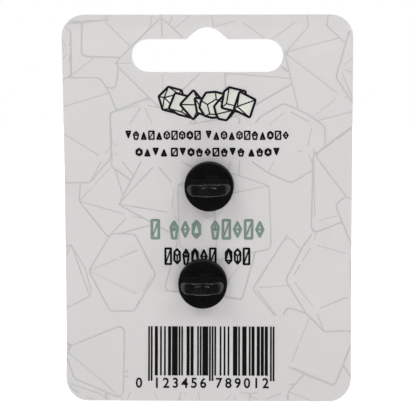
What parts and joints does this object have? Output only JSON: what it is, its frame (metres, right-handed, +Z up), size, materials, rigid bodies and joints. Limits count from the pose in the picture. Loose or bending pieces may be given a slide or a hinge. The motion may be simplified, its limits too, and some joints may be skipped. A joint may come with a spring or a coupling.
{
  "type": "enamel pin on backing card",
  "caption": "Enamel pin with rubber clutches, pushed through a printed retail backing card that hangs from a euro slot.",
  "frame": {"origin": "top of the hang slot's hump, halfway through the card's thickness, where a display peg carries the card", "axes": "+Z up, +Y out of the pin's enamelled face, -Y out of the clutch side of the card, +X to the right as seen from the clutch side"},
  "size_m": [0.07, 0.0121, 0.0947],
  "materials": {
    "card_paper": "matt coated paperboard, printed in light grey-green line art, black and sage green",
    "plated_metal": "die-struck plate with bright black-nickel plating",
    "post_steel": "bright nickel-plated steel",
    "clutch_rubber": "satin moulded black PVC",
    "enamel_sky": "hard enamel, glossy",
    "enamel_moon": "hard enamel, glossy",
    "enamel_mountains": "hard enamel, glossy",
    "enamel_far_hills": "hard enamel, glossy",
    "enamel_near_hills": "hard enamel, glossy",
    "enamel_lake": "hard enamel, glossy",
    "enamel_facet_left": "hard enamel, glossy",
    "enamel_facet_bottom": "hard enamel, glossy",
    "enamel_facet_right": "hard enamel, glossy",
    "enamel_rim_dark": "hard enamel, glossy",
    "enamel_rim_light": "hard enamel, glossy"
  },
  "bodies": {
    "card": {"backing_card": "card_paper"},
    "pin": {"pin_base_plate": "plated_metal", "post_upper": "post_steel", "post_lower": "post_steel", "enamel_sky": "enamel_sky", "enamel_moon": "enamel_moon", "enamel_mountains": "enamel_mountains", "enamel_far_hills": "enamel_far_hills", "enamel_near_hills": "enamel_near_hills", "enamel_lake": "enamel_lake", "enamel_facet_left": "enamel_facet_left", "enamel_facet_bottom": "enamel_facet_bottom", "enamel_facet_right": "enamel_facet_right", "enamel_rim_1": "enamel_rim_light", "enamel_rim_2": "enamel_rim_light", "enamel_rim_3": "enamel_rim_dark", "enamel_rim_4": "enamel_rim_dark", "enamel_rim_5": "enamel_rim_dark", "enamel_rim_6": "enamel_rim_dark"},
    "upper_clutch": {"clutch_upper": "clutch_rubber"},
    "lower_clutch": {"clutch_lower": "clutch_rubber"}
  },
  "joints": [
    {"name": "pin_pull_out", "type": "slide", "parent": "card", "child": "pin", "axis": [0, 1, 0], "range_m": [0, 0.0085]},
    {"name": "upper_clutch_pull_off", "type": "slide", "parent": "card", "child": "upper_clutch", "axis": [0, -1, 0], "range_m": [0, 0.009]},
    {"name": "lower_clutch_pull_off", "type": "slide", "parent": "card", "child": "lower_clutch", "axis": [0, -1, 0], "range_m": [0, 0.009]}
  ]
}
